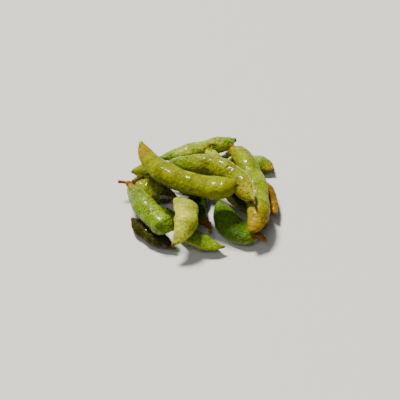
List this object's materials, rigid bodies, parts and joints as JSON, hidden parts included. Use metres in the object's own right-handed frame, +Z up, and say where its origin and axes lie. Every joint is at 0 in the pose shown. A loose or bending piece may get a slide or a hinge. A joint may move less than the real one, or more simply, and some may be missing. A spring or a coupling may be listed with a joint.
{
  "type": "edamame pod bundle",
  "caption": "Loose heap of boiled green soybean pods, curved and bulging over their seeds, some with a short stalk and calyx.",
  "frame": {"origin": "centre of the heap's footprint box, on the surface that it lies on", "axes": "+Z up, +X to the right and +Y away from the front, seen from the side that the two top pods face"},
  "size_m": [0.0912, 0.092, 0.0311],
  "materials": {
    "pod_green": "satin",
    "pod_lime": "satin",
    "pod_olive": "satin",
    "pod_dark": "satin",
    "pod_golden": "satin"
  },
  "bodies": {
    "root": {"pod_left_base": "pod_dark", "pod_front": "pod_green", "pod_left_dark": "pod_dark", "pod_left_back": "pod_olive", "pod_right_base": "pod_golden", "pod_right_tip": "pod_golden", "pod_back_right": "pod_lime", "pod_back": "pod_lime", "pod_front_right": "pod_green", "pod_middle": "pod_green", "pod_left_under": "pod_dark", "pod_right_under": "pod_dark", "pod_centre_under": "pod_dark", "pod_back_under": "pod_dark", "pod_core": "pod_dark", "pod_left_front": "pod_green", "pod_back_stub": "pod_lime", "pod_centre_front": "pod_lime", "pod_right_long": "pod_lime", "pod_top_ridge": "pod_olive", "pod_top_front": "pod_olive"}
  },
  "joints": []
}
